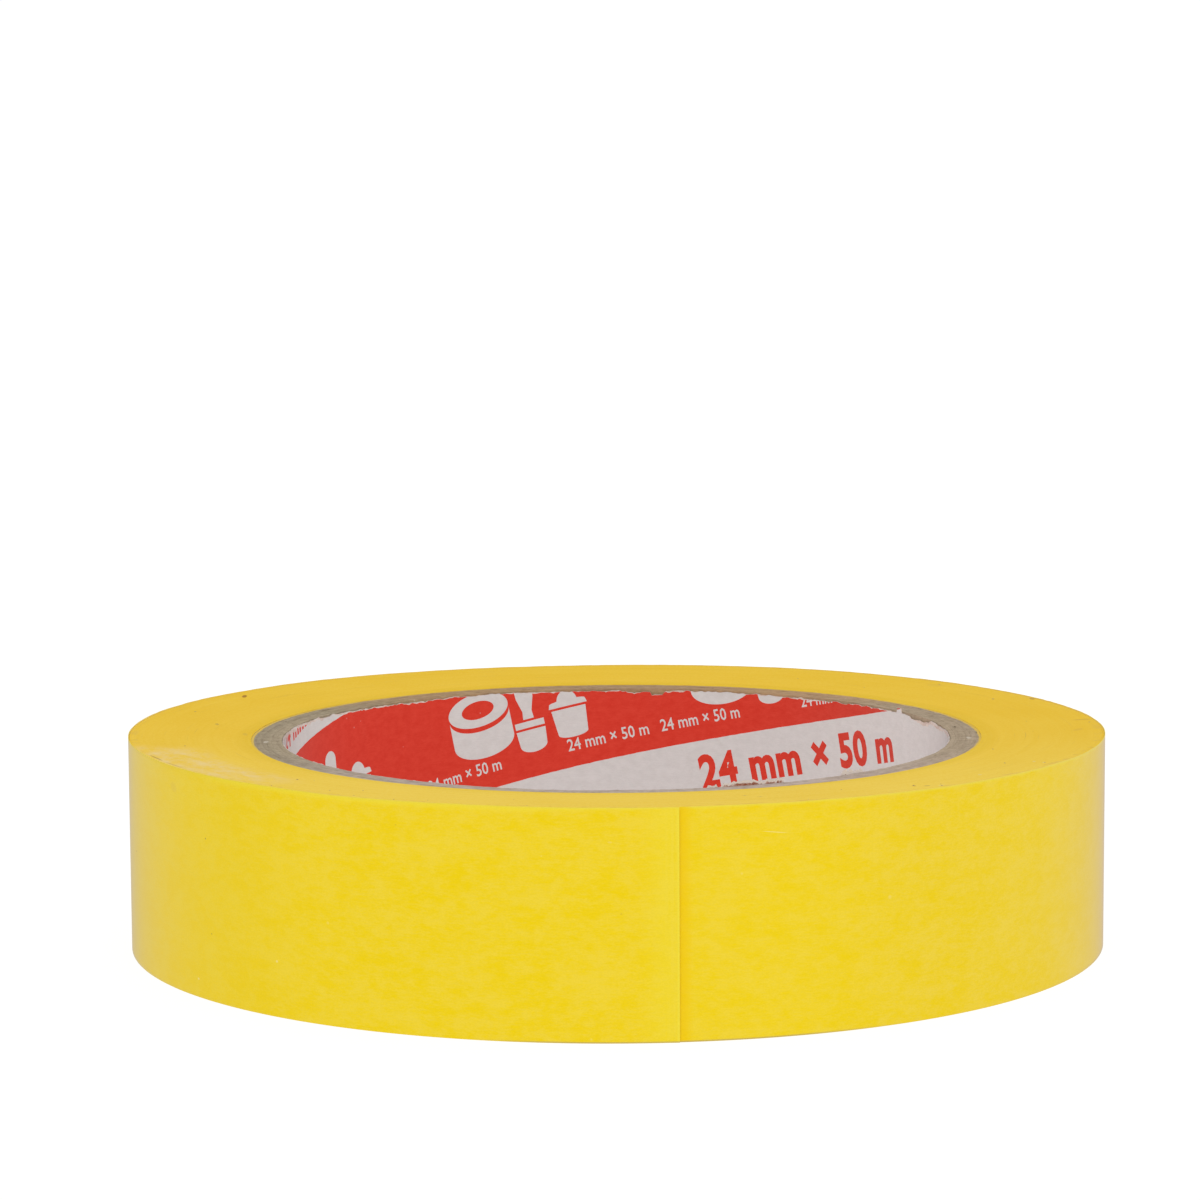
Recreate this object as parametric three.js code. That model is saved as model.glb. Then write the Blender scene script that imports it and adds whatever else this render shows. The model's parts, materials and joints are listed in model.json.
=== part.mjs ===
// Roll of yellow washi masking tape, 24 mm wide, wound on a 76 mm paperboard core.
//
// Frame: millimetres, +Z up along the roll's axis. The origin is on that axis, at
// the face the roll rests on. The front of the roll is -Y. Angles along the tape
// are measured round +Z from the front, positive towards +X.
//
// The core is a glued paperboard tube: a printed paper liner inside and six plies
// of grey board round it. Each ply is its own ring. The tape is one long strip. It
// is divided where it changes what it does: the inner laps, the last lap, and the
// free end, which peels off the roll in three short stretches hinged to each other.

import * as THREE from "three";

// ---- driving dimensions, mm -------------------------------------------------

// core
const BORE_R = 38.0; // 76 mm bore, the standard three inch core
const LINER_T = 0.14; // printed liner paper
const LINER_BOTTOM = 0.55;
const LINER_TOP = 22.95; // the liner stops short of both ends of the board
const PLY_COUNT = 6;
const PLY_T = 0.52; // one ply of core board
const GLUE_GAP = 0.06; // clearance between neighbouring rings
const CORE_BOTTOM = 0.2;
const CORE_TOP = 23.3; // the core sits a little below the tape's top face

// tape
const TAPE_W = 24.0; // width of the strip
const ROLL_R = 55.5; // outside of the last lap, at its cut end
const TAPE_T = 0.1; // one thickness of paper and adhesive
const LAP_GAP = 0.03; // clearance between the last lap and the laps under it
const FREE_END_DEG = 6.5; // where the strip is cut off

// free end, from the peel line to the cut
const END_ROOT_DEG = 12;
const END_MIDDLE_DEG = 9;
const END_TIP_DEG = 9;
const FOLD_GAP_DEG = 0.24; // slit between neighbouring stretches, centred on their hinge

// resolution
const STEP_DEG = 3;

// ---- helpers ------------------------------------------------------------------

const rad = THREE.MathUtils.degToRad;

// A point at radius r and angle deg, in the plan.
const planPoint = (r, deg) =>
  new THREE.Vector2(r * Math.sin(rad(deg)), -r * Math.cos(rad(deg)));

// A plain ring of rectangular section round +Z.
function ringGeometry(rInner, rOuter, zBottom, zTop) {
  const profile = [
    new THREE.Vector2(rInner, zBottom),
    new THREE.Vector2(rOuter, zBottom),
    new THREE.Vector2(rOuter, zTop),
    new THREE.Vector2(rInner, zTop),
    new THREE.Vector2(rInner, zBottom),
  ];
  const geometry = new THREE.LatheGeometry(profile, 360 / STEP_DEG);
  geometry.rotateX(Math.PI / 2); // the lathe turns round Y: bring its axis to +Z
  return geometry;
}

// Radius of the outside of the strip, `back` degrees of winding behind the cut end.
const outsideOfStrip = (back) => ROLL_R - (TAPE_T * back) / 360;

// Angles from a to b, both included, stepping on the strip's own facets, so that
// neighbouring laps share them.
function facetAngles(a, b) {
  const angles = [a];
  for (
    let k = Math.floor(a / STEP_DEG + 1e-6) + 1;
    k * STEP_DEG < b - 1e-6;
    k++
  )
    angles.push(k * STEP_DEG);
  angles.push(b);
  return angles;
}

// A length of the last lap, between two amounts of winding behind the cut end.
function stripGeometry(backStart, backEnd) {
  const backs = facetAngles(backStart, backEnd);
  const plan = new THREE.Shape([
    ...backs.map((b) => planPoint(outsideOfStrip(b), FREE_END_DEG - b)),
    ...backs
      .toReversed()
      .map((b) => planPoint(outsideOfStrip(b) - TAPE_T, FREE_END_DEG - b)),
  ]);
  return new THREE.ExtrudeGeometry(plan, {
    depth: TAPE_W,
    bevelEnabled: false,
    steps: 1,
  });
}

// ---- materials ----------------------------------------------------------------

const material = (color, roughness) =>
  new THREE.MeshStandardMaterial({ color, roughness, metalness: 0 });

const group = new THREE.Group();
group.name = "masking_tape_roll";

function add(parent, name, geometry, mat) {
  const mesh = new THREE.Mesh(geometry, mat);
  mesh.name = name;
  parent.add(mesh);
  return mesh;
}

// ---- core ---------------------------------------------------------------------

const core = new THREE.Group();
group.add(core);

add(
  core,
  "printed_liner",
  ringGeometry(BORE_R, BORE_R + LINER_T, LINER_BOTTOM, LINER_TOP),
  material(0xc8433a, 0.6),
);

let plyInner = BORE_R + LINER_T + GLUE_GAP;
for (let i = 1; i <= PLY_COUNT; i++) {
  add(
    core,
    `core_ply_${i}`,
    ringGeometry(plyInner, plyInner + PLY_T, CORE_BOTTOM, CORE_TOP),
    material(i % 2 ? 0x9c8c74 : 0xa6967e, 0.9),
  );
  plyInner += PLY_T + GLUE_GAP;
}
const CORE_R = plyInner; // where the first lap lies

// ---- wound laps ----------------------------------------------------------------

// The laps under the last one, as one body. Its outside is the next lap down, so it
// steps in by one thickness below the cut end.
const underLap = facetAngles(0, 360);
const windingPlan = new THREE.Shape(
  underLap.map((b) =>
    planPoint(outsideOfStrip(b) - TAPE_T - LAP_GAP, FREE_END_DEG - b),
  ),
);
windingPlan.holes.push(
  new THREE.Path(
    underLap
      .slice(0, -1)
      .toReversed()
      .map((b) => planPoint(CORE_R, FREE_END_DEG - b)),
  ),
);
add(
  group,
  "tape_winding",
  new THREE.ExtrudeGeometry(windingPlan, {
    depth: TAPE_W,
    bevelEnabled: false,
    steps: 1,
  }),
  material(0xe6c24a, 0.7),
);

// ---- last lap and free end ------------------------------------------------------

// Hinge lines, in degrees of winding behind the cut end.
const tipHinge = END_TIP_DEG;
const middleHinge = tipHinge + END_MIDDLE_DEG;
const rootHinge = middleHinge + END_ROOT_DEG;
const half = FOLD_GAP_DEG / 2;

const tapeColor = material(0xf0d522, 0.55);
add(
  group,
  "tape_outer_lap",
  stripGeometry(rootHinge + half, 360 - FOLD_GAP_DEG),
  tapeColor,
);

const freeEnd = new THREE.Group();
group.add(freeEnd);
add(
  freeEnd,
  "tape_end_root",
  stripGeometry(middleHinge + half, rootHinge - half),
  tapeColor,
);
add(
  freeEnd,
  "tape_end_middle",
  stripGeometry(tipHinge + half, middleHinge - half),
  tapeColor,
);
add(freeEnd, "tape_end_tip", stripGeometry(0, tipHinge - half), tapeColor);

export default group;
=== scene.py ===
# Roll of yellow washi masking tape on a printed paperboard core: the looks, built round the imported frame.
# Lengths in this file are millimetres until a mesh is made; angles run round +Z from the front (-Y), positive towards +X.

import json
import math

import bpy
import numpy as np
from mathutils import Matrix, Vector
from mathutils.geometry import delaunay_2d_cdt


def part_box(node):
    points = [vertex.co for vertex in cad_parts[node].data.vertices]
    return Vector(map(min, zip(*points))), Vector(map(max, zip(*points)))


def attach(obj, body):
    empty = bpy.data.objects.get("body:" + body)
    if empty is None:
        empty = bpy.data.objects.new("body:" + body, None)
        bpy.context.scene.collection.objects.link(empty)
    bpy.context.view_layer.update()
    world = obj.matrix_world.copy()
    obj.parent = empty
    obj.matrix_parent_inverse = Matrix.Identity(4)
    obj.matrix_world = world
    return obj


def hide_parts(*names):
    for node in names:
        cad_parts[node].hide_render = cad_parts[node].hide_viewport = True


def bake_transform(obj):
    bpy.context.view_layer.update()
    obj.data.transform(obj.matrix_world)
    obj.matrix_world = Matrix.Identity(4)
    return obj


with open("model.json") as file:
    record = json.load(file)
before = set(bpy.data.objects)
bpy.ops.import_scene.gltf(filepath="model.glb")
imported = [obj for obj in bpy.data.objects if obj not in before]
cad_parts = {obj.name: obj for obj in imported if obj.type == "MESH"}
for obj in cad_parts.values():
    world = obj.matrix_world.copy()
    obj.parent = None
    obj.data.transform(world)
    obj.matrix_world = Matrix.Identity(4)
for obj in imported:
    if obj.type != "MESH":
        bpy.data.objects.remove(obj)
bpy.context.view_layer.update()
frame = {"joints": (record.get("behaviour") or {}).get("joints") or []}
scene = bpy.context.scene

MM = 0.001
RAD = math.pi / 180

# ---- sizes, from the frame ------------------------------------------------------------

liner_lo, liner_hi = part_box("printed_liner")
ply1_lo, ply1_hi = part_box("core_ply_1")
winding_lo, winding_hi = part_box("tape_winding")

TAPE_BOTTOM, TAPE_TOP = winding_lo.z / MM, winding_hi.z / MM
BOARD_BOTTOM, BOARD_TOP = ply1_lo.z / MM, ply1_hi.z / MM
LINER_BOTTOM, LINER_TOP = liner_lo.z / MM, liner_hi.z / MM
LINER_T = 0.14
BORE_R = liner_hi.x / MM - LINER_T
PLY_T = 0.52
PLY_R = [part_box(f"core_ply_{i}")[1].x / MM - PLY_T for i in range(1, 7)]
CORE_R = PLY_R[-1] + PLY_T + 0.06

ROLL_R = 55.5  # outside of the strip at its cut end
TAPE_T = 0.1  # one lap
PAPER_T = 0.088  # the paper itself, so that neighbouring laps don't share a face
FREE_END_DEG = 6.5
joints = {j["name"]: j for j in frame["joints"]}


def hinge(name):
    return Vector(joints[name]["pos_m"])


def back_of(point):
    """Degrees of winding behind the cut end."""
    return FREE_END_DEG - math.degrees(math.atan2(point.x, -point.y))


ROOT_BACK, MIDDLE_BACK, TIP_BACK = (
    back_of(hinge(n)) for n in ("peel", "curl_middle", "curl_tip")
)
UNDER_BACK = 360 + ROOT_BACK + 2  # the last lap runs on under the free end to here


# ---- meshes ---------------------------------------------------------------------------


def make_mesh(name, verts, faces, materials, index=None, points=None, smooth_deg=40):
    """A mesh object from millimetres. points: name -> vector on each vertex, read by the materials."""
    verts = np.asarray(verts, float)
    mesh = bpy.data.meshes.new(name)
    mesh.from_pydata((verts * MM).tolist(), [], faces)
    for mat in materials:
        mesh.materials.append(mat)
    if index is not None:
        mesh.polygons.foreach_set("material_index", np.asarray(index, np.int32))
    for key, data in (points or {}).items():
        attribute = mesh.attributes.new(key, "FLOAT_VECTOR", "POINT")
        attribute.data.foreach_set("vector", np.asarray(data, np.float32).ravel())
    rest = mesh.attributes.new("rest_mm", "FLOAT_VECTOR", "POINT")
    rest.data.foreach_set("vector", verts.astype(np.float32).ravel())
    mesh.polygons.foreach_set("use_smooth", [True] * len(mesh.polygons))
    mesh.update()
    mesh.set_sharp_from_angle(angle=smooth_deg * RAD)
    obj = bpy.data.objects.new(name, mesh)
    scene.collection.objects.link(obj)
    return obj


def grid_faces(sections, around, closed):
    """Quads of a tube: sections of `around` points each, the tube closing on itself or not."""
    i = np.arange(sections if closed else sections - 1)
    j = np.arange(around)
    a, b = np.meshgrid(i, j, indexing="ij")
    a2, b2 = (a + 1) % sections, (b + 1) % around
    quads = np.stack(
        [a * around + b, a2 * around + b, a2 * around + b2, a * around + b2], -1
    )
    return quads.reshape(-1, 4)


class Wave:
    """Smooth periodic noise over a length, a few octaves of it, the same on every run."""

    def __init__(self, seed, period, cell, octaves=1, fall=0.5):
        rng = np.random.default_rng(seed)
        self.period = period
        self.layers = []
        for k in range(octaves):
            n = max(4, int(round(period / cell * 2**k)))
            self.layers.append((rng.uniform(-1, 1, n), fall**k))

    def __call__(self, x):
        x = np.asarray(x, float)
        total = np.zeros_like(x)
        for table, gain in self.layers:
            n = len(table)
            t = (x / self.period * n) % n
            i = np.floor(t).astype(int)
            f = t - i
            f = f * f * (3 - 2 * f)
            total += gain * (table[i % n] * (1 - f) + table[(i + 1) % n] * f)
        return total


def on_plan(r, deg):
    return np.stack([r * np.sin(deg * RAD), -r * np.cos(deg * RAD)], -1)


# ---- nodes ----------------------------------------------------------------------------


class Nodes:
    """A short way to write a material's nodes."""

    def __init__(self, name):
        self.mat = bpy.data.materials.new(name)
        self.mat.use_nodes = True
        self.tree = self.mat.node_tree
        self.tree.nodes.clear()

    def put(self, socket, value):
        if isinstance(value, bpy.types.NodeSocket):
            self.tree.links.new(value, socket)
        elif value is not None:
            if socket.type == "RGBA" and len(value) == 3:
                value = (*value, 1.0)
            socket.default_value = value

    def new(self, kind, inputs=(), **settings):
        node = self.tree.nodes.new(kind)
        for key, value in settings.items():
            setattr(node, key, value)
        for key, value in dict(inputs).items():
            self.put(node.inputs[key], value)
        return node

    def math(self, operation, a, b=None, c=None):
        node = self.new("ShaderNodeMath", operation=operation)
        for k, value in enumerate((a, b, c)):
            if value is not None:
                self.put(node.inputs[k], value)
        return node.outputs[0]

    def add(self, a, b):
        return self.math("ADD", a, b)

    def sub(self, a, b):
        return self.math("SUBTRACT", a, b)

    def mul(self, a, b):
        return self.math("MULTIPLY", a, b)

    def most(self, *values):
        total = values[0]
        for value in values[1:]:
            total = self.math("MAXIMUM", total, value)
        return total

    def attribute(self, name):
        return self.new("ShaderNodeAttribute", attribute_name=name).outputs["Vector"]

    def split(self, vector):
        return self.new("ShaderNodeSeparateXYZ", {"Vector": vector}).outputs

    def vector(self, x, y, z):
        return self.new("ShaderNodeCombineXYZ", {"X": x, "Y": y, "Z": z}).outputs[0]

    def noise(self, vector, scale=1.0, detail=2.0, roughness=0.5):
        return self.new(
            "ShaderNodeTexNoise",
            {
                "Vector": vector,
                "Scale": scale,
                "Detail": detail,
                "Roughness": roughness,
            },
        ).outputs["Fac"]

    def step(self, value, low, high, to_low=0.0, to_high=1.0):
        """Smooth step from to_low at low to to_high at high."""
        return self.new(
            "ShaderNodeMapRange",
            {
                "Value": value,
                "From Min": low,
                "From Max": high,
                "To Min": to_low,
                "To Max": to_high,
            },
            interpolation_type="SMOOTHSTEP",
        ).outputs["Result"]

    def ramp(self, value, low, high, to_low=0.0, to_high=1.0):
        return self.new(
            "ShaderNodeMapRange",
            {
                "Value": value,
                "From Min": low,
                "From Max": high,
                "To Min": to_low,
                "To Max": to_high,
            },
        ).outputs["Result"]

    def mix(self, factor, a, b, blend="MIX"):
        node = self.new("ShaderNodeMix", data_type="RGBA", blend_type=blend)
        self.put(node.inputs[0], factor)
        self.put(node.inputs[6], a)
        self.put(node.inputs[7], b)
        return node.outputs[2]

    def bump(self, height, distance, strength=1.0, normal=None):
        """distance in millimetres."""
        return self.new(
            "ShaderNodeBump",
            {
                "Height": height,
                "Distance": distance * MM,
                "Strength": strength,
                "Normal": normal,
            },
        ).outputs[0]

    def specks(self, vector, scale, size, share, seed=0.0):
        """Sparse round dots: 1 inside a dot. share of the cells hold one, of varied size."""
        moved = self.new(
            "ShaderNodeVectorMath", {0: vector, 1: (seed, seed * 1.7, seed * 0.3)}
        ).outputs[0]
        cell = self.new(
            "ShaderNodeTexVoronoi",
            {"Vector": moved, "Scale": scale, "Randomness": 1.0},
        )
        chance = self.split(cell.outputs["Color"])
        there = self.math("LESS_THAN", chance[0], share)
        radius = self.ramp(chance[1], 0.0, 1.0, size * 0.4, size)
        inside = self.step(
            self.math("DIVIDE", cell.outputs["Distance"], radius), 1.0, 0.45
        )
        return self.mul(inside, there)

    def spot(self, x, y, at, size, turn=0.0):
        """1 inside an ellipse of half axes `size` round `at`, fading at its rim. x and y are in millimetres; the ellipse is turned by `turn` degrees."""
        dx, dy = self.sub(x, at[0]), self.sub(y, at[1])
        if turn:
            c, s = math.cos(turn * RAD), math.sin(turn * RAD)
            dx, dy = (
                self.add(self.mul(dx, c), self.mul(dy, s)),
                self.sub(self.mul(dy, c), self.mul(dx, s)),
            )
        d = self.add(
            self.math("POWER", self.mul(dx, 1 / size[0]), 2.0),
            self.math("POWER", self.mul(dy, 1 / size[1]), 2.0),
        )
        return self.step(d, 1.0, 0.25)

    def surface(self, color, roughness=0.6, normal=None, gloss=None, **inputs):
        """gloss: the brightness of a clear film over the paper, which reflects at grazing angles; None for bare fibre."""
        shader = self.new("ShaderNodeBsdfPrincipled")
        self.put(shader.inputs["Base Color"], color)
        self.put(shader.inputs["Roughness"], 0.95 if gloss else roughness)
        self.put(shader.inputs["Normal"], normal)
        self.put(shader.inputs["Specular IOR Level"], 0.0 if gloss else 0.06)
        for key, value in inputs.items():
            self.put(shader.inputs[key.replace("_", " ")], value)
        surface = shader.outputs[0]
        if gloss:
            film = self.new("ShaderNodeBsdfAnisotropic", {"Roughness": roughness})
            if isinstance(gloss, float):
                gloss = (gloss, gloss, gloss)
            self.put(film.inputs["Color"], gloss)
            self.put(film.inputs["Normal"], normal)
            fresnel = self.new("ShaderNodeFresnel", {"IOR": 1.45}).outputs[0]
            both = self.new("ShaderNodeMixShader")
            # the fibres stand up through the film, so it never covers them all
            cover = self.sub(self.mul(fresnel, 1.06), self.mul(self.mul(fresnel, fresnel), 0.25))
            self.put(both.inputs[0], self.math("MAXIMUM", self.sub(cover, 0.02), 0.0))
            self.put(both.inputs[1], surface)
            self.put(both.inputs[2], film.outputs[0])
            surface = both.outputs[0]
        output = self.new("ShaderNodeOutputMaterial")
        self.tree.links.new(surface, output.inputs["Surface"])
        return self.mat



WALL_MARKS = [
    # length behind the cut end and height; half axes, turn, colour, strength
    ((6.97, 20.5), (0.28, 0.13), 0, (0.90, 0.70, 0.18), 0.35),
    ((44.6, 5.9), (0.18, 0.15), 0, (0.90, 0.76, 0.30), 0.7),
    ((58.1, 2.0), (0.22, 0.14), 0, (0.90, 0.76, 0.30), 0.7),
    ((56.2, 17.3), (0.11, 0.11), 0, (0.30, 0.19, 0.05), 0.8),
    ((77.3, 12.7), (0.16, 0.12), 0, (0.30, 0.19, 0.05), 0.7),
    ((55.3, 7.3), (0.10, 0.10), 0, (0.30, 0.19, 0.05), 0.7),
    ((63.1, 21.8), (0.9, 0.6), 20, (0.66, 0.45, 0.08), 0.2),
    ((338.8, 21.05), (1.6, 0.055), 6, (0.91, 0.77, 0.28), 0.55),
]


def washi_material(name):
    """The tape's outer face. Reads strip: x the length behind the cut end, y the height across the strip."""
    n = Nodes(name)
    s, z, _ = n.split(n.attribute("strip"))
    # clouds of thicker and thinner paper, drawn out along the strip
    cloud = n.noise(n.vector(n.mul(s, 0.46), n.mul(z, 0.86), 0.0), 1.0, 8.0, 0.78)
    broad = n.noise(n.vector(n.mul(s, 0.17), n.mul(z, 0.22), 7.0), 1.0, 3.0, 0.6)
    # fibres: most lie along the strip, some across it
    along = n.noise(n.vector(n.mul(s, 0.75), n.mul(z, 7.5), 3.0), 1.0, 3.0, 0.6)
    rising = n.noise(
        n.vector(
            n.add(n.mul(s, 0.9), n.mul(z, 0.45)),
            n.sub(n.mul(z, 5.5), n.mul(s, 2.2)),
            9.0,
        ),
        1.0,
        2.0,
        0.55,
    )
    falling = n.noise(
        n.vector(
            n.sub(n.mul(s, 0.9), n.mul(z, 0.45)),
            n.add(n.mul(z, 5.5), n.mul(s, 2.8)),
            5.0,
        ),
        1.0,
        2.0,
        0.55,
    )
    strand = n.noise(n.vector(n.mul(s, 1.1), n.mul(z, 6.0), 6.0), 1.0, 4.0, 0.65)
    fibre = n.most(
        n.step(along, 0.60, 0.74), n.step(rising, 0.64, 0.76), n.step(falling, 0.66, 0.78)
    )
    pale = n.ramp(cloud, 0.36, 0.64, 0.06, 0.94)
    pale = n.add(pale, n.ramp(broad, 0.3, 0.7, -0.27, 0.27))
    pale = n.add(pale, n.mul(fibre, 0.27))
    pale = n.add(pale, n.ramp(strand, 0.3, 0.7, -0.24, 0.24))
    # the paper is more even right of the cut
    pale = n.add(n.mul(n.sub(pale, 0.5), n.step(s, 150.0, 250.0, 1.0, 0.82)), 0.5)
    # creases that run across the strip just before the cut: their pale and dark stripes are painted light and shade of
    # the folds
    crease_light_and_shade = n.noise(n.vector(n.mul(s, 3.4), n.mul(z, 0.06), 8.0), 1.0, 2.0, 0.6)
    pale = n.add(pale, n.mul(n.ramp(crease_light_and_shade, 0.3, 0.7, -0.5, 0.5), n.step(s, 2.4, 0.5)))
    # the last stretch before the cut lies a little loose and is painted lighter: partly paler loose paper, partly
    # painted light on the lifted end; the pale band along the top edge, left out round the left and back, is a painted
    # highlight
    depth = n.sub(TAPE_TOP, z)
    ragged = n.noise(n.vector(n.mul(s, 0.55), 0.0, 4.0), 1.0, 4.0, 0.65)
    width = n.add(
        n.mul(n.mul(n.step(s, 8.0, 18.0), n.step(s, 250.0, 150.0)), 0.42),
        n.ramp(ragged, 0.3, 0.7, 0.14, 0.62),
    )
    loose_and_highlight = n.most(
        n.mul(n.step(s, 5.0, 0.8), 0.45),
        n.mul(n.step(s, 0.42, 0.12), 1.0),
        n.mul(
            n.mul(n.step(depth, width, 0.04), 0.85),
            n.most(n.step(s, 64.0, 50.0), n.step(s, 125.0, 150.0)),
        ),
    )
    pale_color = n.mix(n.step(pale, 0.0, 1.0), (0.878, 0.634, 0.0), (0.884, 0.660, 0.0375))
    color = n.mix(loose_and_highlight, pale_color, (0.892, 0.722, 0.044))
    # the topmost fraction of a millimetre is paler still: a painted highlight on the edge
    color = n.mix(n.mul(n.step(depth, 0.17, 0.02), 0.4), color, (0.86, 0.68, 0.105))
    grain = n.noise(n.vector(n.mul(s, 4.5), n.mul(z, 6.5), 2.0), 1.0, 2.0, 0.6)
    color = n.mix(
        n.step(grain, 0.36, 0.64), n.mix(1.0, color, (0.958, 0.966, 0.93), "MULTIPLY"), color
    )
    # painted shadow: the lap below is painted deeper right beside the cut end, the shade that the end casts on it
    turn = 2 * math.pi * ROLL_R
    painted_cut_shadow = n.mul(
        n.step(s, turn - 1.6, turn - 0.35), n.step(s, turn + 1.6, turn + 0.1, 0.25, 1.0)
    )
    color = n.mix(n.mul(painted_cut_shadow, 0.75), color, (0.884, 0.585, 0.0))
    spots = n.specks(n.vector(s, z, 0.0), 0.42, 0.13, 0.10, 3.0)
    color = n.mix(n.mul(spots, 0.4), color, (0.90, 0.72, 0.16))
    dark = n.specks(n.vector(s, z, 0.0), 0.30, 0.075, 0.10, 11.0)
    color = n.mix(n.mul(dark, 0.35), color, (0.46, 0.30, 0.05))
    # painted shade: both shoulders a shade darker, where the roll turns from the light; less pale on the left, paler on
    # the right
    for towards, tint in (
        (n.mul(n.step(s, 36.0, 54.0), n.step(s, 130.0, 90.0)), (0.970, 0.965, 0.70)),
        (n.mul(n.step(s, 272.0, 290.0), n.step(s, 340.0, 318.0)), (0.968, 0.960, 1.30)),
    ):
        color = n.mix(towards, color, n.mix(1.0, color, tint, "MULTIPLY"))
    # painted shadow: the lower slit edge is painted darker near the cut end, the dark contact line where the roll meets
    # the floor
    painted_contact_shadow = n.mul(
        n.step(z, 0.22, 0.10), n.most(n.step(s, 22.0, 12.0), n.step(s, 322.0, 338.0))
    )
    color = n.mix(n.mul(painted_contact_shadow, 0.6), color, (0.42, 0.32, 0.14))
    for at, size, turn, shade, amount in WALL_MARKS:
        color = n.mix(n.mul(n.spot(s, z, at, size, turn), amount), color, shade)
    height = n.add(n.mul(cloud, 0.6), n.add(n.mul(along, 0.5), n.mul(fibre, 0.35)))
    return n.surface(
        color,
        n.ramp(cloud, 0.3, 0.7, 0.30, 0.42),
        n.bump(height, 0.02, 0.4),
        gloss=n.mix(
            n.mul(n.step(s, 62.0, 82.0), n.step(s, 140.0, 110.0)),
            (0.53, 0.47, 0.54),
            (0.54, 0.50, 0.50),
        ),
    )


def cut_material(name):
    """The strip's own slit edge: bare fibre in the tape's colour."""
    n = Nodes(name)
    s, z, _ = n.split(n.attribute("strip"))
    nick = n.noise(n.vector(n.mul(s, 1.2), 0.0, 0.0), 1.0, 4.0, 0.65)
    color = n.mix(n.step(nick, 0.35, 0.65), (0.86, 0.63, 0.06), (0.88, 0.69, 0.10))
    return n.surface(color, 0.8, n.bump(nick, 0.02, 0.4))


def crumb_material(name):
    """Dust and dried dirt."""
    n = Nodes(name)
    p = n.attribute("rest_mm")
    color = n.mix(n.noise(p, 2.5, 2.0, 0.5), (0.44, 0.27, 0.09), (0.70, 0.50, 0.20))
    return n.surface(color, 0.9)


def adhesive_material(name):
    """The tape's inner face: the same paper behind a thin clear adhesive."""
    n = Nodes(name)
    x, y, z = n.split(n.attribute("rest_mm"))
    p = n.attribute("rest_mm")
    cloud = n.noise(p, 0.7, 5.0, 0.6)
    drag = n.noise(n.vector(n.mul(x, 0.5), n.mul(y, 0.5), n.mul(z, 6.0)), 1.0, 3.0, 0.6)
    color = n.mix(
        n.step(n.add(n.mul(cloud, 0.6), n.mul(drag, 0.4)), 0.35, 0.65),
        (0.80, 0.53, 0.030),
        (0.83, 0.60, 0.085),
    )
    return n.surface(
        color, n.ramp(drag, 0.3, 0.7, 0.24, 0.36), n.bump(drag, 0.03, 0.35), gloss=0.8
    )


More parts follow.
